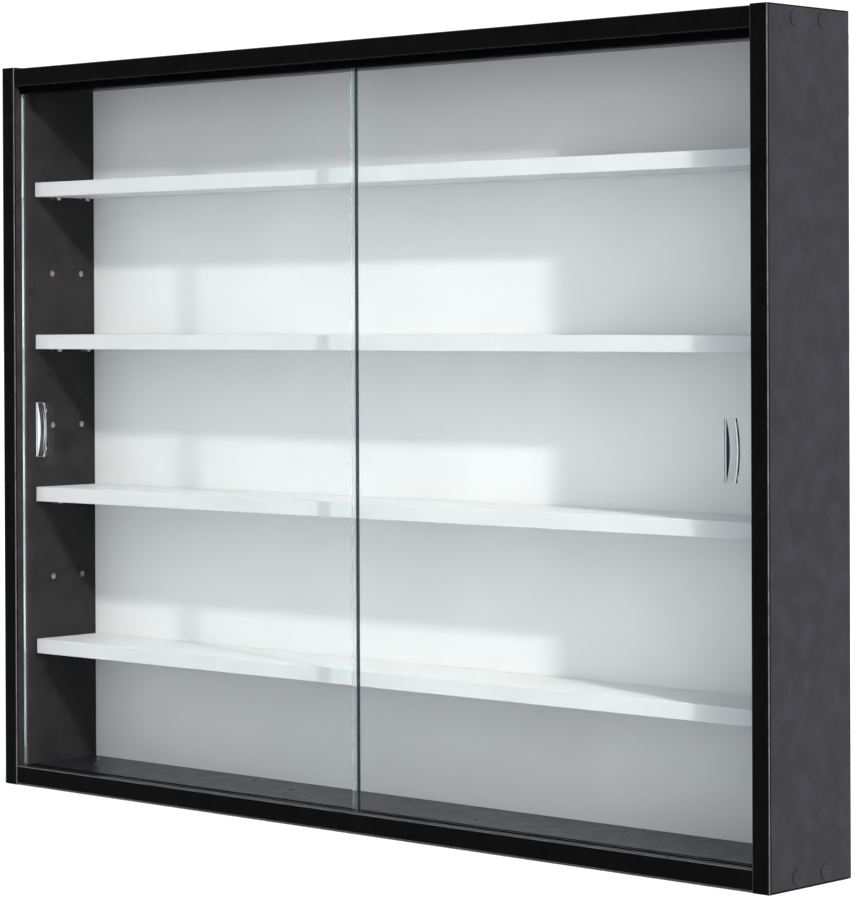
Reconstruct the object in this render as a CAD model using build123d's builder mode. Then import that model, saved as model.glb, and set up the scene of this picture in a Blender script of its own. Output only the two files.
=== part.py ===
"""Wall display showcase: a shallow cabinet with adjustable shelves behind two sliding glass doors.

Frame: X to the right seen from the front, Y from front to back, Z up, in millimetres. The origin is
the middle of the underside. The cabinet is 15 mm melamine-faced board with rounded edge banding. The
thin back panel lies between the sides, nailed to the rear edges of the top and bottom panels, and the
doors are plain 4 mm panes in twin-groove plastic tracks.
"""

import os

from build123d import *

os.makedirs("parts", exist_ok=True)

# Cabinet
cabinet_width = 800.0
cabinet_height = 600.0
carcass_depth = 90.0
board_thickness = 15.0
back_thickness = 3.0
back_side_gap = 0.1
top_step_down = 1.0
bottom_step_up = 0.5
front_step_back = 0.5
front_band_thickness = 2.0
front_band_radius = 1.0
end_band_thickness = 1.0

# Wall hangers
hanger_thickness = 1.5
hanger_width = 14.0
hanger_length = 60.0
hanger_corner_radius = 3.0
hanger_height = 556.0
keyhole_entry_radius = 4.5
keyhole_slot_width = 4.6
keyhole_rise = 9.0
keyhole_drop = 4.0
hanger_screw_spacing = 46.0
hanger_screw_radius = 1.7
hanger_screw_head_radius = 3.2
hanger_screw_length = 16.0
head_pocket_width = 10.6
head_pocket_length = 24.0
head_pocket_depth = 8.0

# Tracks and panes
track_front_depth = 6.8
track_wall = 0.9
track_rib = 2.4
groove_width = 4.6
track_base = 1.0
track_recess = 5.0
lower_groove_depth = 4.0
upper_groove_depth = 9.0
track_side_gap = 0.05
pane_thickness = 4.0
pane_width = 390.0
pane_end_gap = 0.3
pane_foot_gap = 0.3
pane_head_engagement = 4.5
pane_arris = 0.4

# Finger pulls glued to the panes
pull_width = 12.0
pull_height = 45.0
pull_thickness = 2.5
pull_inset = 26.0
pull_side_swell = 2.4
pull_left_wall = 2.1
pull_end_wall = 1.7
pull_scoop_depth = 2.1
pull_scoop_length = 43.0

# Shelves on pins in a 32 mm hole system
hole_column_depths = (43.5, 75.5)
hole_pitch = 64.0
hole_row_count = 7
pin_hole_radius = 2.5
pin_hole_depth = 9.0
pin_radius = 2.45
pin_reach = 10.0
pin_seat = 8.0
pin_tip_fillet = 0.6
shelf_thickness = 12.0
shelf_front_depth = 24.3
shelf_back_gap = 0.7
shelf_end_gap = 0.8
shelf_band_thickness = 1.0
shelf_band_chamfer = 0.3
shelf_seat_gap = 0.35
shelf_drop_on_pins = 0.3

# Confirmat screws and their caps
screw_depths = (32.0, 64.0)
screw_head_radius = 5.0
screw_head_height = 2.2
screw_shank_radius = 3.5
screw_thread_radius = 3.2
screw_length = 48.0
screw_socket_radius = 2.3
screw_socket_depth = 1.8
screw_fit = 0.05
cap_radius = 6.0
cap_thickness = 0.5
cap_stem_radius = 1.9
cap_stem_length = 1.5

# Back panel nails
nail_radius = 0.8
nail_length = 12.0
nail_head_radius = 1.6
nail_head_height = 0.6
nail_fit = 0.05
nail_count = 8
nail_span = 728.0

# Places that follow from the sizes above
overall_depth = carcass_depth + back_thickness + hanger_thickness
front_y = -overall_depth / 2
half_width = cabinet_width / 2
inner_half = half_width - board_thickness
inner_width = 2 * inner_half
bottom_z = bottom_step_up
floor_z = bottom_z + board_thickness
top_z = cabinet_height - top_step_down
ceiling_z = top_z - board_thickness
board_middles = (bottom_z + board_thickness / 2, top_z - board_thickness / 2)
middle_z = cabinet_height / 2
carcass_back_y = front_y + carcass_depth
back_face_y = carcass_back_y + back_thickness
hole_rows = [middle_z + hole_pitch * (k - hole_row_count // 2) for k in range(hole_row_count)]
pin_rows = hole_rows[::2]
column_ys = [front_y + depth for depth in hole_column_depths]
screw_ys = [front_y + depth for depth in screw_depths]
track_width = 2 * track_wall + 2 * groove_width + track_rib
track_front_y = front_y + track_front_depth
track_middle_y = track_front_y + track_width / 2
groove_pitch = groove_width + track_rib
front_pane_y = track_middle_y - groove_pitch / 2
rear_pane_y = track_middle_y + groove_pitch / 2
lower_track_z = floor_z - track_recess
upper_track_top_z = ceiling_z + track_recess
upper_track_z = upper_track_top_z - upper_groove_depth - 1.5 * track_base
pane_foot_z = floor_z - lower_groove_depth + pane_foot_gap
pane_head_z = upper_track_z + pane_head_engagement
pane_height = pane_head_z - pane_foot_z
pane_middle_z = (pane_foot_z + pane_head_z) / 2
pane_middle_x = inner_half - pane_end_gap - pane_width / 2
pull_middle_x = inner_half - pane_end_gap - pull_inset
hanger_x = half_width - board_thickness / 2
nail_xs = [nail_span * (k / (nail_count - 1) - 0.5) for k in range(nail_count)]
hanger_screw_zs = [hanger_height + s * hanger_screw_spacing / 2 for s in (-1, 1)]
keyhole_entry_z = hanger_height - keyhole_drop
rising = (Align.CENTER, Align.CENTER, Align.MIN)
sinking = (Align.CENTER, Align.CENTER, Align.MAX)


def save(builder, name):
    """Label a finished piece and write its file."""
    builder.part.label = name
    export_step(builder.part, f"parts/{name}.step")


def side_places(x, side, ys, zs):
    """Planes on an upright face at x that looks along +X or -X."""
    return [Plane(origin=(x, y, z), z_dir=(side, 0, 0)) for y in ys for z in zs]


def rear_places(y, xs, zs):
    """Planes on a face at y that looks backwards."""
    return [Plane(origin=(x, y, z), z_dir=(0, 1, 0)) for x in xs for z in zs]


def block(x_low, x_high, y_low, y_high, z_low, z_high):
    """Extrude a rectangular block into the part being built."""
    with BuildSketch(Plane.XY.offset(z_low)) as outline:
        with Locations(((x_low + x_high) / 2, (y_low + y_high) / 2)):
            Rectangle(x_high - x_low, y_high - y_low)
    extrude(outline.sketch, amount=z_high - z_low)


def side_panel(side):
    """Upright board: shelf pin holes inside, screw holes outside, hanger pocket behind."""
    x_inner = side * inner_half
    x_outer = side * half_width
    with BuildPart() as panel:
        block(
            min(x_inner, x_outer),
            max(x_inner, x_outer),
            front_y + front_band_thickness,
            back_face_y,
            end_band_thickness,
            cabinet_height - end_band_thickness,
        )
        with Locations(*side_places(x_inner, -side, column_ys, hole_rows)):
            Hole(pin_hole_radius, depth=pin_hole_depth)
        with Locations(*side_places(x_outer, side, screw_ys, board_middles)):
            CounterBoreHole(
                screw_shank_radius + screw_fit,
                screw_head_radius + screw_fit,
                screw_head_height,
                depth=board_thickness,
            )
        with BuildSketch(Plane.XZ.offset(-back_face_y)) as pocket:
            with Locations((side * hanger_x, hanger_height)):
                SlotOverall(head_pocket_length, head_pocket_width, rotation=90)
        extrude(pocket.sketch, amount=head_pocket_depth, mode=Mode.SUBTRACT)
        with Locations(*rear_places(back_face_y, (side * hanger_x,), hanger_screw_zs)):
            Hole(hanger_screw_radius + screw_fit, depth=hanger_screw_length)
    return panel


def front_band(x_low, x_high, y_face, z_low, z_high, thickness, long_axis):
    """Edge strip on a board's front, with its two long outer edges rounded."""
    with BuildPart() as band:
        block(x_low, x_high, y_face, y_face + thickness, z_low, z_high)
        fillet(band.faces().sort_by(Axis.Y)[0].edges().filter_by(long_axis), front_band_radius)
    return band


def side_end_bands(side):
    """Thin strips on the two sawn ends of a side panel."""
    x_low = min(side * inner_half, side * half_width)
    y_low = front_y + front_band_thickness
    with BuildPart() as bands:
        for z_low in (0, cabinet_height - end_band_thickness):
            block(
                x_low,
                x_low + board_thickness,
                y_low,
                back_face_y,
                z_low,
                z_low + end_band_thickness,
            )
    return bands


def cross_panel(z_low, channel_z):
    """Board between the sides, with the track's channel, screw pilots and nail holes."""
    y_low = front_y + front_step_back + front_band_thickness
    z_middle = z_low + board_thickness / 2
    with BuildPart() as panel:
        block(-inner_half, inner_half, y_low, carcass_back_y, z_low, z_low + board_thickness)
        with BuildSketch(Plane.YZ.offset(-inner_half)) as channel:
            with Locations((track_middle_y, channel_z + track_recess / 2)):
                Rectangle(track_width + 2 * track_side_gap, track_recess)
        extrude(channel.sketch, amount=inner_width, mode=Mode.SUBTRACT)
        for side in (-1, 1):
            with Locations(*side_places(side * inner_half, side, screw_ys, (z_middle,))):
                Hole(screw_thread_radius + screw_fit, depth=screw_length - board_thickness)
        with Locations(*rear_places(carcass_back_y, nail_xs, (z_middle,))):
            Hole(nail_radius + nail_fit, depth=nail_length)
    return panel


def track(z_low, z_high, groove_low, groove_high):
    """Plastic profile with two grooves, one for each pane."""
    with BuildPart() as profile:
        with BuildSketch(Plane.YZ.offset(-inner_half)):
            with Locations((track_middle_y, (z_low + z_high) / 2)):
                Rectangle(track_width, z_high - z_low)
            with Locations(
                (front_pane_y, (groove_low + groove_high) / 2),
                (rear_pane_y, (groove_low + groove_high) / 2),
            ):
                Rectangle(groove_width, groove_high - groove_low, mode=Mode.SUBTRACT)
        extrude(amount=inner_width)
    return profile


def pane(x_middle, y_middle):
    """Door pane with its arrises taken off."""
    with BuildPart() as glass:
        block(
            x_middle - pane_width / 2,
            x_middle + pane_width / 2,
            y_middle - pane_thickness / 2,
            y_middle + pane_thickness / 2,
            pane_foot_z,
            pane_head_z,
        )
        chamfer(glass.faces().sort_by(Axis.Y)[0].edges(), pane_arris)
        chamfer(glass.faces().sort_by(Axis.Y)[-1].edges(), pane_arris)
    return glass


def finger_pull(x_middle, pane_y):
    """Clear block glued on a pane: its right side swells half way up, and a disc cuts its scoop."""
    glued_y = pane_y - pane_thickness / 2
    x_low = x_middle - pull_width / 2
    x_high = x_middle + pull_width / 2
    x_end = x_high - pull_side_swell
    z_low = pane_middle_z - pull_height / 2
    z_high = pane_middle_z + pull_height / 2
    scoop_radius = (pull_scoop_length**2 / 4 + pull_scoop_depth**2) / (2 * pull_scoop_depth)
    scoop_width = x_end - pull_end_wall - x_low - pull_left_wall
    with BuildPart() as pull:
        with BuildSketch(Plane.XZ.offset(-glued_y)) as outline:
            with BuildLine():
                Polyline((x_end, z_high), (x_low, z_high), (x_low, z_low), (x_end, z_low))
                ThreePointArc((x_end, z_low), (x_high, pane_middle_z), (x_end, z_high))
            make_face()
        extrude(outline.sketch, amount=pull_thickness)
        with BuildSketch(Plane.YZ.offset(x_low + pull_left_wall)) as cutter:
            with Locations((glued_y - pull_thickness + pull_scoop_depth - scoop_radius, pane_middle_z)):
                Circle(scoop_radius)
        extrude(cutter.sketch, amount=scoop_width, mode=Mode.SUBTRACT)
    return pull


def shelf_board(row_z):
    """Shelf with a half-round seat over each pin."""
    z_low = row_z + shelf_drop_on_pins
    half_length = inner_half - shelf_end_gap
    with BuildPart() as board:
        block(
            -half_length,
            half_length,
            front_y + shelf_front_depth + shelf_band_thickness,
            carcass_back_y - shelf_back_gap,
            z_low,
            z_low + shelf_thickness,
        )
        for side in (-1, 1):
            with Locations(*side_places(side * half_length, side, column_ys, (row_z,))):
                Hole(pin_radius + shelf_seat_gap, depth=pin_reach + 1)
    return board


def shelf_band(row_z):
    """Edge strip on the shelf's front."""
    z_low = row_z + shelf_drop_on_pins
    half_length = inner_half - shelf_end_gap
    y_face = front_y + shelf_front_depth
    with BuildPart() as band:
        block(
            -half_length,
            half_length,
            y_face,
            y_face + shelf_band_thickness,
            z_low,
            z_low + shelf_thickness,
        )
        chamfer(band.faces().sort_by(Axis.Y)[0].edges().filter_by(Axis.X), shelf_band_chamfer)
    return band


def shelf_pins(row_z):
    """Four round pins, two in each side panel."""
    with BuildPart() as pins:
        for side in (-1, 1):
            with Locations(*side_places(side * (inner_half + pin_seat), -side, column_ys, (row_z,))):
                Cylinder(pin_radius, pin_seat + pin_reach, align=rising)
        fillet(pins.edges().filter_by(GeomType.CIRCLE), pin_tip_fillet)
    return pins


def confirmat_screws(side):
    """Four connector screws through one side panel, with a hexagon socket in each head."""
    shank_length = board_thickness - screw_head_height
    thread_length = screw_length - board_thickness - 1
    with BuildPart() as screws:
        for depth, radius, length in (
            (0, screw_head_radius, screw_head_height),
            (screw_head_height, screw_shank_radius, shank_length),
            (board_thickness, screw_thread_radius, thread_length),
        ):
            x = side * (half_width - depth)
            with Locations(*side_places(x, side, screw_ys, board_middles)):
                Cylinder(radius, length, align=sinking)
        for place in side_places(side * half_width, side, screw_ys, board_middles):
            with BuildSketch(place) as socket:
                RegularPolygon(screw_socket_radius, 6)
            extrude(socket.sketch, amount=-screw_socket_depth, mode=Mode.SUBTRACT)
    return screws


def screw_caps(side):
    """Four round caps over the screw heads, each with a stem in the socket."""
    with BuildPart() as caps:
        with Locations(*side_places(side * half_width, side, screw_ys, board_middles)):
            Cylinder(cap_radius, cap_thickness, align=rising)
            Cylinder(cap_stem_radius, cap_stem_length, align=sinking)
        outer = caps.faces().filter_by(Axis.X).sort_by(Axis.X)[-1 if side > 0 else 0]
        rims = caps.edges().filter_by(GeomType.CIRCLE).filter_by(
            lambda edge: abs(edge.center().X - outer.center().X) < cap_thickness / 10
        )
        fillet(rims, cap_thickness / 2)
    return caps


def hanger_plate(side):
    """Steel plate with a keyhole over the pocket in the side panel's rear edge."""
    x = side * hanger_x
    with BuildPart() as plate:
        with BuildSketch(Plane.XZ.offset(-back_face_y)) as outline:
            with Locations((x, hanger_height)):
                RectangleRounded(hanger_width, hanger_length, hanger_corner_radius)
            with Locations((x, keyhole_entry_z)):
                Circle(keyhole_entry_radius, mode=Mode.SUBTRACT)
            with Locations((x, keyhole_entry_z + keyhole_rise / 2)):
                SlotCenterToCenter(
                    keyhole_rise, keyhole_slot_width, rotation=90, mode=Mode.SUBTRACT
                )
        extrude(outline.sketch, amount=-hanger_thickness)
        with Locations(*rear_places(back_face_y + hanger_thickness, (x,), hanger_screw_zs)):
            CounterSinkHole(
                hanger_screw_radius + screw_fit,
                hanger_screw_head_radius + screw_fit,
                depth=hanger_thickness,
            )
    return plate


def hanger_screws(side):
    """Two countersunk screws holding one plate."""
    rear = back_face_y + hanger_thickness
    cone = hanger_screw_head_radius - hanger_screw_radius
    with BuildPart() as screws:
        for z in hanger_screw_zs:
            with BuildSketch(Plane.YZ.offset(side * hanger_x)) as half:
                with BuildLine():
                    Polyline(
                        (rear, z),
                        (rear, z + hanger_screw_head_radius),
                        (rear - cone, z + hanger_screw_radius),
                        (rear - hanger_screw_length + 2, z + hanger_screw_radius),
                        (rear - hanger_screw_length, z),
                        close=True,
                    )
                make_face()
            revolve(half.sketch, axis=Axis((side * hanger_x, 0, z), (0, 1, 0)))
    return screws


# Boards
for side, word in ((-1, "left"), (1, "right")):
    save(side_panel(side), f"{word}_side_panel")
    x_low = min(side * inner_half, side * half_width)
    band = front_band(
        x_low, x_low + board_thickness, front_y, 0, cabinet_height, front_band_thickness, Axis.Z
    )
    save(band, f"{word}_side_front_band")
    save(side_end_bands(side), f"{word}_side_end_bands")
for z_low, channel_z, word in (
    (bottom_z, lower_track_z, "bottom"),
    (top_z - board_thickness, ceiling_z, "top"),
):
    save(cross_panel(z_low, channel_z), f"{word}_panel")
    band = front_band(
        -inner_half,
        inner_half,
        front_y + front_step_back,
        z_low,
        z_low + board_thickness,
        front_band_thickness,
        Axis.X,
    )
    save(band, f"{word}_front_band")

# Back panel
with BuildPart() as back_panel:
    block(
        back_side_gap - inner_half,
        inner_half - back_side_gap,
        carcass_back_y,
        back_face_y,
        bottom_z,
        top_z,
    )
    with Locations(*rear_places(back_face_y, nail_xs, board_middles)):
        CounterBoreHole(
            nail_radius + nail_fit,
            nail_head_radius + nail_fit,
            nail_head_height,
            depth=back_thickness,
        )
save(back_panel, "back_panel")

with BuildPart() as back_nails:
    with Locations(*rear_places(back_face_y, nail_xs, board_middles)):
        Cylinder(nail_head_radius, nail_head_height, align=sinking)
        Cylinder(nail_radius, nail_length, align=sinking)
save(back_nails, "back_nails")

# Tracks
save(track(lower_track_z, floor_z, floor_z - lower_groove_depth, floor_z), "lower_track")
save(
    track(upper_track_z, upper_track_top_z, upper_track_z, upper_track_z + upper_groove_depth),
    "upper_track",
)

# Doors: the left one runs in the front groove, the right one in the rear groove
for side, y_middle, word in ((-1, front_pane_y, "left"), (1, rear_pane_y, "right")):
    save(pane(side * pane_middle_x, y_middle), f"{word}_door_glass")
    save(finger_pull(side * pull_middle_x, y_middle), f"{word}_door_pull")

# Shelves, counted from the top
for number, row_z in enumerate(reversed(pin_rows), start=1):
    save(shelf_board(row_z), f"shelf_{number}_board")
    save(shelf_band(row_z), f"shelf_{number}_front_band")
    save(shelf_pins(row_z), f"shelf_{number}_pins")

# Fixings
for side, word in ((-1, "left"), (1, "right")):
    save(confirmat_screws(side), f"{word}_side_screws")
    save(screw_caps(side), f"{word}_screw_caps")
    save(hanger_plate(side), f"{word}_hanger_plate")
    save(hanger_screws(side), f"{word}_hanger_screws")
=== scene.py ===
import math

import bmesh
import bpy
from mathutils import Matrix, Vector


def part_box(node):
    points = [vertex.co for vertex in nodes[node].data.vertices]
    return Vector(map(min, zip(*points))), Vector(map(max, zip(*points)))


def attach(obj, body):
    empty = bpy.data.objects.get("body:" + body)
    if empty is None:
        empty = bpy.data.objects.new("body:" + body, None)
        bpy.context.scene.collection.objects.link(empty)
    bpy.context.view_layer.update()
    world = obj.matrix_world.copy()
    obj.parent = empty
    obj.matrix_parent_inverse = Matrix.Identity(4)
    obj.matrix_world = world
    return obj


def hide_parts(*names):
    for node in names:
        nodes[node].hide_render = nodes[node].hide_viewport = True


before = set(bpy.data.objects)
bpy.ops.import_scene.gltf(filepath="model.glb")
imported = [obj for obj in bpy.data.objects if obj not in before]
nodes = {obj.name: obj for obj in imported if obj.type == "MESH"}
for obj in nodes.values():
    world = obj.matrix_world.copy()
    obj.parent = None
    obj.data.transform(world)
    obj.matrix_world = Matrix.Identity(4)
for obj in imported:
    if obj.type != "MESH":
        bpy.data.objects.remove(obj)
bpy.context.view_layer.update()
MM = 0.001

# ---------------------------------------------------------------- places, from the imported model

side_low, side_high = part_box("left_side_panel")
pin_low, pin_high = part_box("shelf_1_pins")
PANEL_INNER_X = abs(side_high.x)
MIDDLE_Z = (side_low.z + side_high.z) / 2
FACE_MARGIN = 0.1 * MM
PIN_RADIUS = 2.45 * MM
HOLE_RADIUS = 2.5 * MM
HOLE_DEPTH = 9.0 * MM
HOLE_PITCH = 64 * MM
HOLE_ROWS = 7
HOLE_MIDDLE_Y = (pin_low.y + pin_high.y) / 2
HOLE_COLUMN_HALF = (pin_high.y - pin_low.y) / 2 - PIN_RADIUS

# ---------------------------------------------------------------- node graph helpers


class Graph:
    """A small builder for one material's nodes."""

    def __init__(self, name):
        self.mat = bpy.data.materials.new(name)
        self.mat.use_nodes = True
        self.tree = self.mat.node_tree
        self.tree.nodes.clear()
        self.output = self.tree.nodes.new("ShaderNodeOutputMaterial")
        self.coords = None

    def node(self, kind, **values):
        made = self.tree.nodes.new(kind)
        for key, value in values.items():
            setattr(made, key, value)
        return made

    def link(self, source, target):
        self.tree.links.new(source, target)

    def feed(self, socket, value):
        if isinstance(value, bpy.types.NodeSocket):
            self.link(value, socket)
        else:
            socket.default_value = value

    def position(self):
        if self.coords is None:
            self.coords = self.node("ShaderNodeTexCoord").outputs["Object"]
        return self.coords

    def stretched(self, scale):
        mapping = self.node("ShaderNodeMapping")
        self.link(self.position(), mapping.inputs["Vector"])
        mapping.inputs["Scale"].default_value = scale
        return mapping.outputs["Vector"]

    def noise(self, scale, detail=2.0, roughness=0.5, vector=None):
        made = self.node("ShaderNodeTexNoise")
        self.link(vector or self.position(), made.inputs["Vector"])
        made.inputs["Scale"].default_value = scale
        made.inputs["Detail"].default_value = detail
        made.inputs["Roughness"].default_value = roughness
        return made.outputs["Fac"]

    def math(self, operation, a, b=None, clamp=False):
        made = self.node("ShaderNodeMath", operation=operation, use_clamp=clamp)
        for socket, value in zip(made.inputs, (a, b)):
            if value is not None:
                self.feed(socket, value)
        return made.outputs[0]

    def remap(self, value, low, high, to_low=0.0, to_high=1.0):
        made = self.node("ShaderNodeMapRange")
        self.link(value, made.inputs["Value"])
        made.inputs["From Min"].default_value = low
        made.inputs["From Max"].default_value = high
        made.inputs["To Min"].default_value = to_low
        made.inputs["To Max"].default_value = to_high
        return made.outputs["Result"]

    def mix(self, factor, a, b, blend="MIX"):
        made = self.node("ShaderNodeMix", data_type="RGBA", blend_type=blend)
        self.feed(made.inputs["Factor"], factor)
        self.feed(made.inputs["A"], a)
        self.feed(made.inputs["B"], b)
        return made.outputs["Result"]

    def axes(self, vector):
        made = self.node("ShaderNodeSeparateXYZ")
        self.link(vector, made.inputs[0])
        return made.outputs

    def normal(self):
        return self.node("ShaderNodeNewGeometry").outputs["Normal"]

    def bump(self, height, strength, distance):
        made = self.node("ShaderNodeBump")
        made.inputs["Strength"].default_value = strength
        made.inputs["Distance"].default_value = distance
        self.link(height, made.inputs["Height"])
        return made.outputs["Normal"]

    def principled(self, **values):
        made = self.node("ShaderNodeBsdfPrincipled")
        for key, value in values.items():
            self.feed(made.inputs[key.replace("_", " ")], value)
        return made

    def finish(self, shader):
        self.link(shader.outputs[0], self.output.inputs["Surface"])
        return self.mat


def rgb(r, g, b):
    return (r, g, b, 1.0)


def grey(value, warm=0.0):
    return rgb(value * (1 + warm), value, value * (1 - warm))


def plum(value):
    """Charcoal's own grey, a little violet."""
    return rgb(value * 1.04, value * 0.95, value * 1.22)


def arris_mask(g):
    """1 on rounded edges, where the surface looks along no axis, and 0 on flat faces."""
    n = g.axes(g.normal())
    x, y, z = (g.math("ABSOLUTE", n[k]) for k in range(3))
    along_an_axis = g.math("MAXIMUM", x, g.math("MAXIMUM", y, z))
    return g.remap(along_an_axis, 0.985, 0.90)


def rear_mask(g):
    """1 on faces that look to the rear, and 0 on the others."""
    return g.remap(g.axes(g.normal())[1], 0.90, 0.95)


# ---------------------------------------------------------------- materials

WHITE = rgb(1.0, 1.0, 1.0)
CHARCOAL = 0.0105
CHARCOAL_GLOSS = 0.13
# Painted light on the side panels' inner faces: a multiplier that makes them brighter and less
# blue
INNER_FACE_PAINTED_LIGHT = rgb(1.12, 1.16, 0.93)
HOLE_RIM = 0.5 * MM
HOLE_FADE_FROM = HOLE_RADIUS + 0.00012
HOLE_FADE_TO = HOLE_RADIUS + 0.00005
HOLE_ROWS_HALF = HOLE_ROWS / 2 * HOLE_PITCH
HOLE_END = HOLE_DEPTH + 0.0005
ROWS_BELOW = 4.5 * HOLE_PITCH
GLASS_IOR = 1.5
ACRYLIC_IOR = 1.49


def raw_chipboard(g):
    """Bare chipboard: pale chips and darker gaps of a few millimetres."""
    chips = g.noise(420.0, 4.0, 0.75)
    dust = g.noise(1500.0, 2.0, 0.6)
    tone = g.mix(g.remap(chips, 0.36, 0.64), rgb(0.20, 0.125, 0.066), rgb(0.52, 0.39, 0.25))
    return g.mix(g.remap(dust, 0.5, 0.8, 0.0, 0.5), tone, rgb(0.62, 0.50, 0.36))


def hole_mask(g):
    """1 in the shelf pin holes past their rims, and 0 elsewhere."""
    p = g.axes(g.position())
    dy = g.math(
        "SUBTRACT", g.math("ABSOLUTE", g.math("SUBTRACT", p[1], HOLE_MIDDLE_Y)), HOLE_COLUMN_HALF
    )
    rows_up = g.math("SUBTRACT", p[2], MIDDLE_Z)
    # Rows counted from below the lowest keep MODULO's input above zero
    row_part = g.math("MODULO", g.math("ADD", rows_up, ROWS_BELOW), HOLE_PITCH)
    dz = g.math("SUBTRACT", row_part, HOLE_PITCH / 2)
    away = g.math("SQRT", g.math("ADD", g.math("MULTIPLY", dy, dy), g.math("MULTIPLY", dz, dz)))
    near_hole = g.remap(away, HOLE_FADE_FROM, HOLE_FADE_TO)
    in_rows = g.math("LESS_THAN", g.math("ABSOLUTE", rows_up), HOLE_ROWS_HALF)
    past_face = g.math("SUBTRACT", g.math("ABSOLUTE", p[0]), PANEL_INNER_X)
    near_face = g.math("LESS_THAN", past_face, HOLE_END)
    past_rim = g.math("GREATER_THAN", past_face, HOLE_RIM)
    inside = g.math("MULTIPLY", near_hole, g.math("MULTIPLY", in_rows, near_face))
    return g.math("MULTIPLY", inside, past_rim)


def melamine_dark(name, drilled=False):
    """Charcoal facing on chipboard: a faint cloudy print and a fine pearl, with bare rear edges.

    The side panels' inner faces are a brighter, less violet grey, a painted light for how they are
    lit inside the cabinet, with the board's pale core in the pin holes.
    """
    g = Graph(name)
    cloud = g.noise(18.0, 4.0, 0.6)
    speck = g.noise(900.0, 2.0, 0.6)
    pearl = g.noise(1500.0, 1.0, 0.5)
    mottle = g.noise(55.0, 3.0, 0.6)
    tone = g.mix(g.remap(cloud, 0.35, 0.65), plum(CHARCOAL * 0.82), plum(CHARCOAL * 1.08))
    tone = g.mix(g.remap(mottle, 0.45, 0.70), tone, plum(CHARCOAL * 1.45))
    tone = g.mix(g.remap(speck, 0.55, 0.75, 0.0, 0.35), tone, plum(CHARCOAL * 1.8))
    if drilled:
        from_middle = g.math("ABSOLUTE", g.axes(g.position())[0])
        indoors = g.math("LESS_THAN", from_middle, PANEL_INNER_X + FACE_MARGIN)
        # Painted light: the inner faces are multiplied brighter and less blue than the same
        # charcoal outside
        tone = g.mix(indoors, tone, INNER_FACE_PAINTED_LIGHT, "MULTIPLY")
    rough = g.remap(mottle, 0.3, 0.7, 0.27, 0.36)
    bare = rear_mask(g)
    tone = g.mix(bare, tone, raw_chipboard(g))
    rough = g.math("ADD", rough, g.math("MULTIPLY", bare, 0.5), clamp=True)
    if drilled:
        core = g.noise(1100.0, 3.0, 0.7)
        pale = g.mix(g.remap(core, 0.35, 0.65), rgb(0.38, 0.32, 0.27), rgb(0.58, 0.52, 0.47))
        tone = g.mix(hole_mask(g), tone, pale)
    return g.finish(
        g.principled(
            Base_Color=tone,
            Roughness=rough,
            Normal=g.bump(pearl, 0.12, 0.00005),
            Specular_IOR_Level=CHARCOAL_GLOSS,
        )
    )


def edge_band_dark(name, corner_wear_and_highlight):
    """Black edge strip, a little scraped, with paler corners: partly whitening where it was
    trimmed round, partly a painted highlight where the rounded corners catch the light.
    """
    g = Graph(name)
    along = g.noise(60.0, 3.0, 0.6)
    scrape = g.noise(400.0, 3.0, 0.7, g.stretched((0.2, 1.0, 0.2)))
    fine = g.noise(1300.0, 1.0, 0.5)
    tone = g.mix(g.remap(along, 0.35, 0.65), grey(0.0012), grey(0.0020))
    # Painted highlight mixed with wear: the rounded corners get a paler tone
    worn_and_highlight = g.math("MULTIPLY", arris_mask(g), g.remap(scrape, 0.30, 0.62, 0.45, 1.0))
    tone = g.mix(worn_and_highlight, tone, grey(corner_wear_and_highlight, -0.03))
    rough = g.remap(scrape, 0.3, 0.7, 0.42, 0.56)
    return g.finish(
        g.principled(
            Base_Color=tone,
            Roughness=rough,
            Normal=g.bump(fine, 0.15, 0.00005),
            Specular_IOR_Level=0.03,
        )
    )


def melamine_white(name, low, high, warm, bare_rear=False):
    """White facing with a very faint cloud, dust specks and a fine pearl texture.

    The thin back board is bare hardboard behind.
    """
    g = Graph(name)
    cloud = g.noise(9.0, 3.0, 0.55)
    speck = g.noise(700.0, 2.0, 0.5)
    pearl = g.noise(1400.0, 1.0, 0.5)
    tone = g.mix(g.remap(cloud, 0.35, 0.65), grey(low, warm), grey(high, warm))
    tone = g.mix(g.remap(speck, 0.68, 0.80, 0.0, 0.25), tone, grey(low * 0.8, warm))
    rough = g.remap(cloud, 0.3, 0.7, 0.38, 0.50)
    if bare_rear:
        rear = rear_mask(g)
        fibre = g.noise(160.0, 5.0, 0.7, g.stretched((1.0, 1.0, 0.5)))
        brown, tan = rgb(0.150, 0.088, 0.050), rgb(0.255, 0.160, 0.095)
        board = g.mix(g.remap(fibre, 0.35, 0.65), brown, tan)
        tone = g.mix(rear, tone, board)
        rough = g.math("ADD", rough, g.math("MULTIPLY", rear, 0.25), clamp=True)
    return g.finish(
        g.principled(
            Base_Color=tone,
            Roughness=rough,
            Normal=g.bump(pearl, 0.2, 0.00006),
            Specular_IOR_Level=0.35,
        )
    )


def extruded_plastic(name, low, high, reflect):
    """Black track plastic: streaks along its length from the die and from the panes' running."""
    g = Graph(name)
    streak = g.noise(900.0, 3.0, 0.6, g.stretched((0.01, 1.0, 1.0)))
    smear = g.noise(30.0, 3.0, 0.6)
    tone = g.mix(g.remap(streak, 0.35, 0.65), grey(low), grey(high))
    drawn = g.remap(streak, 0.3, 0.7, 0.22, 0.38)
    rough = g.math("ADD", drawn, g.remap(smear, 0.3, 0.7, 0.0, 0.12))
    return g.finish(
        g.principled(
            Base_Color=tone,
            Roughness=rough,
            Normal=g.bump(streak, 0.2, 0.00006),
            Specular_IOR_Level=reflect,
        )
    )


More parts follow.
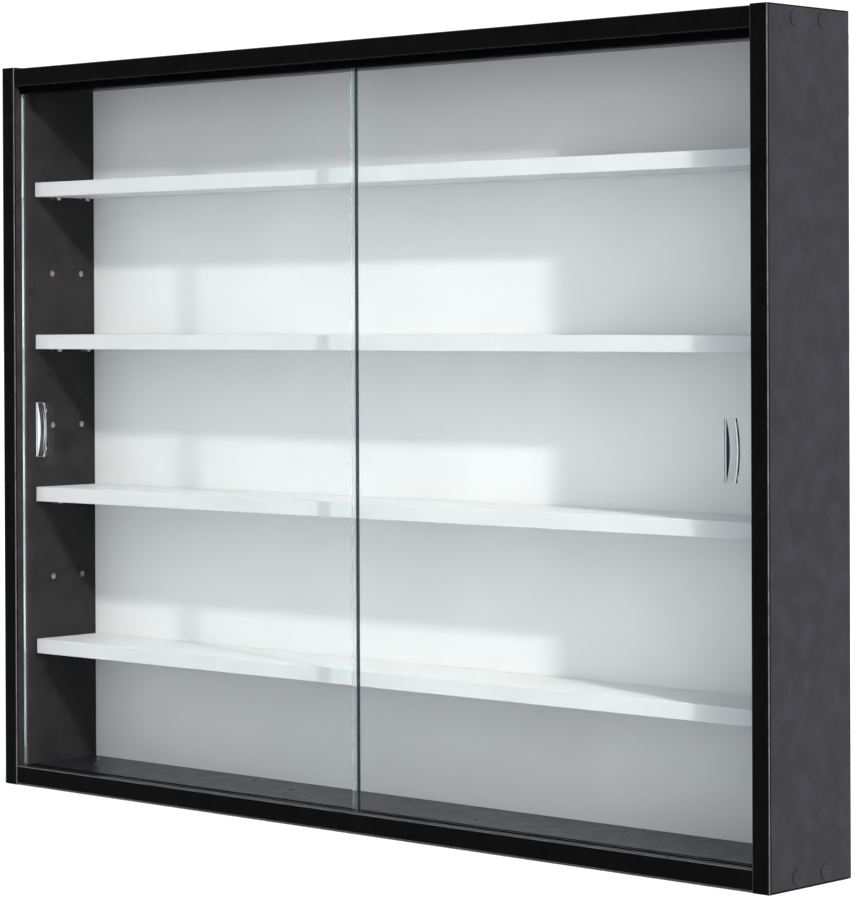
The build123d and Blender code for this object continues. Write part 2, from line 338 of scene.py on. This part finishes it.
def plated_steel(name, tone_low, tone_high, rough):
    """Zinc or nickel plate with fine drawn lines and cloudy patches."""
    g = Graph(name)
    lines = g.noise(1600.0, 2.0, 0.6, g.stretched((1.0, 1.0, 0.04)))
    patch = g.noise(220.0, 3.0, 0.6)
    tone = g.mix(g.remap(patch, 0.35, 0.65), tone_low, tone_high)
    return g.finish(
        g.principled(
            Base_Color=tone,
            Metallic=1.0,
            Roughness=g.remap(lines, 0.3, 0.7, rough - 0.08, rough + 0.10),
            Normal=g.bump(lines, 0.2, 0.00004),
        )
    )


def clear(name, tint, shadow, rough_low, rough_high, ior, share=1.0):
    """Clear glass or acrylic with a faint smear, whose shadow is straight and nearly clear.

    A share under 1 is a ground surface, which scatters the rest of the light.
    """
    g = Graph(name)
    smear = g.noise(14.0, 4.0, 0.6)
    glass = g.principled(
        Base_Color=tint,
        Roughness=g.remap(smear, 0.55, 0.75, rough_low, rough_high),
        Transmission_Weight=share,
        IOR=ior,
    )
    through = g.node("ShaderNodeBsdfTransparent")
    through.inputs["Color"].default_value = shadow
    path = g.node("ShaderNodeLightPath")
    pick = g.node("ShaderNodeMixShader")
    g.link(path.outputs["Is Shadow Ray"], pick.inputs[0])
    g.link(glass.outputs[0], pick.inputs[1])
    g.link(through.outputs[0], pick.inputs[2])
    return g.finish(pick)


charcoal = melamine_dark("charcoal_melamine")
charcoal_holes = melamine_dark("charcoal_melamine_drilled_painted_inner_light", drilled=True)
black_band = edge_band_dark("black_edge_band", 0.10)
# The top band's copy has darker corners: less painted highlight, for corners that catch less light
top_band_dim_highlight = edge_band_dark("black_edge_band_top_dim_painted_highlight", 0.012)
white_board = melamine_white("white_melamine", 0.70, 0.74, -0.004)
white_back = melamine_white("white_back_board", 0.77, 0.81, -0.006, bare_rear=True)
white_band = melamine_white("white_edge_band", 0.65, 0.69, -0.004)
black_plastic = extruded_plastic("black_track_plastic", 0.0010, 0.0022, 0.05)
# Painted shade: a darker, less reflective copy of the track plastic for the upper track, which
# sits in the top panel's shade
track_plastic_painted_shade = extruded_plastic("black_track_plastic_top_painted_shade", 0.0005, 0.0011, 0.02)
zinc = plated_steel("zinc_plate", rgb(0.44, 0.46, 0.49), rgb(0.60, 0.61, 0.62), 0.34)
nickel = plated_steel("nickel_plate", rgb(0.52, 0.50, 0.46), rgb(0.68, 0.66, 0.62), 0.22)
glass_face = clear(
    "pane_face", rgb(0.976, 0.990, 0.991), rgb(0.95, 0.975, 0.972), 0.0, 0.012, GLASS_IOR
)
glass_edge = clear(
    "pane_edge", rgb(0.14, 0.42, 0.40), rgb(0.05, 0.10, 0.10), 0.03, 0.08, GLASS_IOR, 0.96
)
glass_far_edge = clear(
    "pane_far_edge", rgb(0.14, 0.42, 0.40), rgb(0.90, 0.93, 0.93), 0.03, 0.08, GLASS_IOR, 0.96
)
glass_arris = clear(
    "pane_ground_arris", rgb(0.38, 0.62, 0.60), rgb(0.12, 0.20, 0.19), 0.30, 0.45, GLASS_IOR, 0.88
)
acrylic = clear(
    "clear_acrylic", rgb(0.985, 0.99, 0.99), rgb(0.90, 0.92, 0.92), 0.01, 0.04, ACRYLIC_IOR
)
# Dark acrylic for the right pull's walls: painted shade and painted reflection, a dark copy of the
# clear acrylic
acrylic_painted_dark_wall = clear(
    "acrylic_painted_dark_wall", rgb(0.03, 0.06, 0.06), rgb(0.30, 0.32, 0.32), 0.03, 0.08, ACRYLIC_IOR, 0.80
)
acrylic_painted_dark_side = clear(
    "acrylic_painted_dark_side", rgb(0.30, 0.36, 0.36), rgb(0.60, 0.64, 0.64), 0.03, 0.08, ACRYLIC_IOR, 0.90
)
acrylic_ground = clear(
    "ground_acrylic", rgb(0.38, 0.41, 0.41), rgb(0.30, 0.32, 0.32), 0.35, 0.50, ACRYLIC_IOR, 0.10
)
acrylic_frosted = clear(
    "frosted_acrylic", rgb(0.22, 0.23, 0.23), rgb(0.30, 0.32, 0.32), 0.35, 0.50, ACRYLIC_IOR, 0.30
)

wanted = {
    "left_side_panel": charcoal_holes,
    "right_side_panel": charcoal_holes,
    "top_panel": charcoal,
    "bottom_panel": charcoal,
    "back_panel": white_back,
    "back_nails": zinc,
    "lower_track": black_plastic,
    "upper_track": track_plastic_painted_shade,
}
for side in ("left", "right"):
    wanted[f"{side}_side_front_band"] = black_band
    wanted[f"{side}_side_end_bands"] = black_band
    wanted[f"{side}_side_screws"] = zinc
    wanted[f"{side}_screw_caps"] = charcoal
    wanted[f"{side}_hanger_plate"] = zinc
    wanted[f"{side}_hanger_screws"] = zinc
wanted["top_front_band"] = top_band_dim_highlight
wanted["bottom_front_band"] = black_band
for number in (1, 2, 3, 4):
    wanted[f"shelf_{number}_board"] = white_board
    wanted[f"shelf_{number}_front_band"] = white_band
    wanted[f"shelf_{number}_pins"] = nickel
for name, material in wanted.items():
    for slot in nodes[name].material_slots:
        slot.material = material

# ---------------------------------------------------------------- panes and pulls

PANE_ARRIS = 0.25 * MM
PULL_GAP = 0.05 * MM
PULL_ARRIS = 0.3 * MM
PULL_LEDGE = 0.6
SCOOP_SHALLOWEST = 0.06 * MM
SCOOP_DEPTH = 2.1 * MM
SCOOP_LEFT = -3.9 * MM
SCOOP_LEFT_STEP = 0.1 * MM
SCOOP_BOTTOM = -0.6 * MM
SCOOP_BOTTOM_SAG = 1.04
SCOOP_RIGHT = 1.9 * MM
SCOOP_RIGHT_STEP = 0.3 * MM
SIDE_SWELL = 2.4 * MM
SCOOP_SLOPE = 0.65
PULL_ROWS = 36
# The section's sides that are the scoop's left wall and the pull's right side, and their materials
WALL_INDEX = {3: 1, 9: 2}


def show(name, bm, materials, body, node):
    """Make the object for a clear piece, fix it to its body and hide the CAD part it stands in
    for.
    """
    mesh = bpy.data.meshes.new(name)
    bmesh.ops.recalc_face_normals(bm, faces=bm.faces)
    bm.to_mesh(mesh)
    bm.free()
    for material in materials:
        mesh.materials.append(material)
    piece = bpy.data.objects.new(name, mesh)
    bpy.context.scene.collection.objects.link(piece)
    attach(piece, body)
    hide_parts(node)
    return piece


def pane(name, node, body):
    """A pane with ground arrises, in the space the CAD pane holds."""
    low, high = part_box(node)
    size = high - low
    bm = bmesh.new()
    bmesh.ops.create_cube(bm, size=1.0)
    bmesh.ops.scale(bm, vec=size, verts=bm.verts)
    bmesh.ops.translate(bm, vec=(low + high) / 2, verts=bm.verts)
    bmesh.ops.bevel(
        bm, geom=list(bm.edges), offset=PANE_ARRIS, segments=3, profile=0.5, affect="EDGES"
    )
    for face in bm.faces:
        if abs(face.normal.y) > 0.99:
            face.material_index = 0
        elif face.normal.x < -0.99:
            face.material_index = 3
        elif max(abs(face.normal.x), abs(face.normal.z)) > 0.99:
            face.material_index = 1
        else:
            face.material_index = 2
    materials = (glass_face, glass_edge, glass_arris, glass_far_edge)
    return show(name, bm, materials, body, node)


def pull(name, node, body, walls):
    """A clear finger pull, its scoop deepest and its right side fullest half way up."""
    low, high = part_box(node)
    middle = (low + high) / 2
    half_width = (high.x - low.x) / 2
    half_height = (high.z - low.z) / 2
    thickness = high.y - low.y - PULL_GAP
    bm = bmesh.new()
    rows = []
    for k in range(PULL_ROWS + 3):
        along = min(max((k - 1) / PULL_ROWS, 0.0), 1.0) * 2 - 1
        at_end = k in (0, PULL_ROWS + 2)
        z = along * (half_height - (0.0 if at_end else PULL_ARRIS))
        swell = 1 - along * along
        depth = SCOOP_SHALLOWEST + (SCOOP_DEPTH - SCOOP_SHALLOWEST) * swell
        front = PULL_ARRIS if at_end else 0.0
        right = half_width - SIDE_SWELL * (1 - swell)
        section = (
            (-half_width, thickness),
            (-half_width, PULL_ARRIS + front * 0.5),
            (-half_width + PULL_ARRIS, front),
            (SCOOP_LEFT, front),
            (SCOOP_LEFT + SCOOP_LEFT_STEP + SCOOP_SLOPE * depth, front + depth),
            (SCOOP_BOTTOM, front + depth * SCOOP_BOTTOM_SAG),
            (SCOOP_RIGHT - SCOOP_RIGHT_STEP + SIDE_SWELL * swell, front + depth),
            (SCOOP_RIGHT + SIDE_SWELL * swell, front),
            (right - PULL_ARRIS, front),
            (right, PULL_ARRIS + front * 0.5),
            (right, PULL_LEDGE * thickness),
            (right, thickness),
        )
        rows.append([bm.verts.new((middle.x + x, low.y + y, middle.z + z)) for x, y in section])
    count = len(rows[0])
    for below, above in zip(rows, rows[1:]):
        for k in range(count):
            after = (k + 1) % count
            face = bm.faces.new((below[k], below[after], above[after], above[k]))
            face.material_index = WALL_INDEX.get(k, 0)
    bm.faces.new(rows[0])
    bm.faces.new(rows[-1])
    return show(name, bm, (acrylic, *walls), body, node)


# The two pulls are alike, but the left pull's walls are ground and catch the key light, and the
# right pull's walls are dark acrylic: painted shade and painted reflection of the dark side panel
# beside it
pull_walls = {
    "left": (acrylic_ground, acrylic_frosted),
    "right": (acrylic_painted_dark_wall, acrylic_painted_dark_side),
}
for side, walls in pull_walls.items():
    pane(f"{side}_pane", f"{side}_door_glass", f"{side}_door")
    pull(f"{side}_finger_pull", f"{side}_door_pull", f"{side}_door", walls)

# ---------------------------------------------------------------- floor, light and camera

BACKDROP = 1.12
FILL = 1.47
KEY_DISTANCE = 2.2
FLOOR_HALF = 30.0
FLOOR_DROP = 0.5 * MM
KEY_POWER = 56.6
KEY_SIZE = 0.07
KEY_WARMTH = (1.0, 0.955, 0.91)
KEY_PLACE = (2.046, -0.634, 1.050)
KEY_AIM = (0.0, 0.0, 0.30)
FLAG = 0.02
FLAG_DIRECTION = (-0.687, -0.727, 0.0)
FLAG_DARK_ANGLE = 14.0
FLAG_SOFT_ANGLE = 32.0
COOL = rgb(0.968, 1.0, 1.045)

floor_mesh = bpy.data.meshes.new("floor")
bm = bmesh.new()
bmesh.ops.create_grid(bm, x_segments=1, y_segments=1, size=FLOOR_HALF)
bm.to_mesh(floor_mesh)
bm.free()
floor = bpy.data.objects.new("floor", floor_mesh)
floor.location.z = -FLOOR_DROP
bpy.context.scene.collection.objects.link(floor)
g = Graph("pale_floor")
haze = g.noise(3.0, 2.0, 0.5)
floor_mesh.materials.append(
    g.finish(
        g.principled(
            Base_Color=g.mix(haze, grey(0.90), grey(0.92)), Roughness=0.8, Specular_IOR_Level=0.1
        )
    )
)
floor.visible_glossy = False
floor.visible_transmission = False

# A dark flag stands where the panes mirror the camera, as a studio has for glass
world = bpy.data.worlds.new("studio")
bpy.context.scene.world = world
world.use_nodes = True
sky = world.node_tree
backdrop = sky.nodes["Background"]
backdrop.inputs["Color"].default_value = WHITE
backdrop.inputs["Strength"].default_value = BACKDROP
direction = sky.nodes.new("ShaderNodeTexCoord")
towards = sky.nodes.new("ShaderNodeVectorMath")
towards.operation = "DOT_PRODUCT"
sky.links.new(direction.outputs["Generated"], towards.inputs[0])
towards.inputs[1].default_value = Vector(FLAG_DIRECTION).normalized()
shade = sky.nodes.new("ShaderNodeMapRange")
shade.interpolation_type = "SMOOTHSTEP"
sky.links.new(towards.outputs["Value"], shade.inputs["Value"])
shade.inputs["From Min"].default_value = math.cos(math.radians(FLAG_SOFT_ANGLE))
shade.inputs["From Max"].default_value = math.cos(math.radians(FLAG_DARK_ANGLE))
shade.inputs["To Min"].default_value = FILL
shade.inputs["To Max"].default_value = FLAG
room = sky.nodes.new("ShaderNodeBackground")
room.inputs["Color"].default_value = COOL
sky.links.new(shade.outputs["Result"], room.inputs["Strength"])
path = sky.nodes.new("ShaderNodeLightPath")
choose = sky.nodes.new("ShaderNodeMixShader")
sky.links.new(path.outputs["Is Camera Ray"], choose.inputs[0])
sky.links.new(room.outputs[0], choose.inputs[1])
sky.links.new(backdrop.outputs[0], choose.inputs[2])
sky.links.new(choose.outputs[0], sky.nodes["World Output"].inputs["Surface"])

lamp = bpy.data.lights.new("key", "AREA")
lamp.shape = "DISK"
lamp.size = KEY_SIZE
lamp.energy = KEY_POWER
lamp.color = KEY_WARMTH
lamp.use_nodes = True
glow = lamp.node_tree.nodes["Emission"]
even = lamp.node_tree.nodes.new("ShaderNodeLightFalloff")
even.inputs["Strength"].default_value = 1 / KEY_DISTANCE**2
lamp.node_tree.links.new(even.outputs["Constant"], glow.inputs["Strength"])
key = bpy.data.objects.new("key", lamp)
key.location = KEY_PLACE
aim = Vector(KEY_AIM) - key.location
key.rotation_euler = aim.to_track_quat("-Z", "Y").to_euler()
bpy.context.scene.collection.objects.link(key)

CAMERA_PLACE = (1.725, -1.80225, 0.388)
PHOTO_WIDTH, PHOTO_HEIGHT = 855, 900
SENSOR = 36.0
FOCAL_PIXELS = 3256.0
CENTRE_X, CENTRE_Y = 404.0, 341.0
YAW, PITCH, ROLL = (math.radians(a) for a in (43.43, -0.38, -0.23))
view = bpy.data.cameras.new("camera")
view.sensor_width = SENSOR
view.lens = FOCAL_PIXELS / PHOTO_HEIGHT * view.sensor_width
view.shift_x = (PHOTO_WIDTH / 2 - CENTRE_X) / PHOTO_HEIGHT
view.shift_y = (CENTRE_Y - PHOTO_HEIGHT / 2) / PHOTO_HEIGHT
view.clip_end = 100.0
camera = bpy.data.objects.new("camera", view)
forward = Vector(
    (-math.sin(YAW) * math.cos(PITCH), math.cos(YAW) * math.cos(PITCH), math.sin(PITCH))
)
level = Vector((math.cos(YAW), math.sin(YAW), 0.0))
upright = level.cross(forward)
right = math.cos(ROLL) * level + math.sin(ROLL) * upright
up = -math.sin(ROLL) * level + math.cos(ROLL) * upright
turn = Matrix((right, up, -forward)).transposed().to_4x4()
camera.matrix_world = Matrix.Translation(CAMERA_PLACE) @ turn
bpy.context.scene.collection.objects.link(camera)
bpy.context.scene.camera = camera
bpy.context.scene.view_settings.view_transform = "Standard"
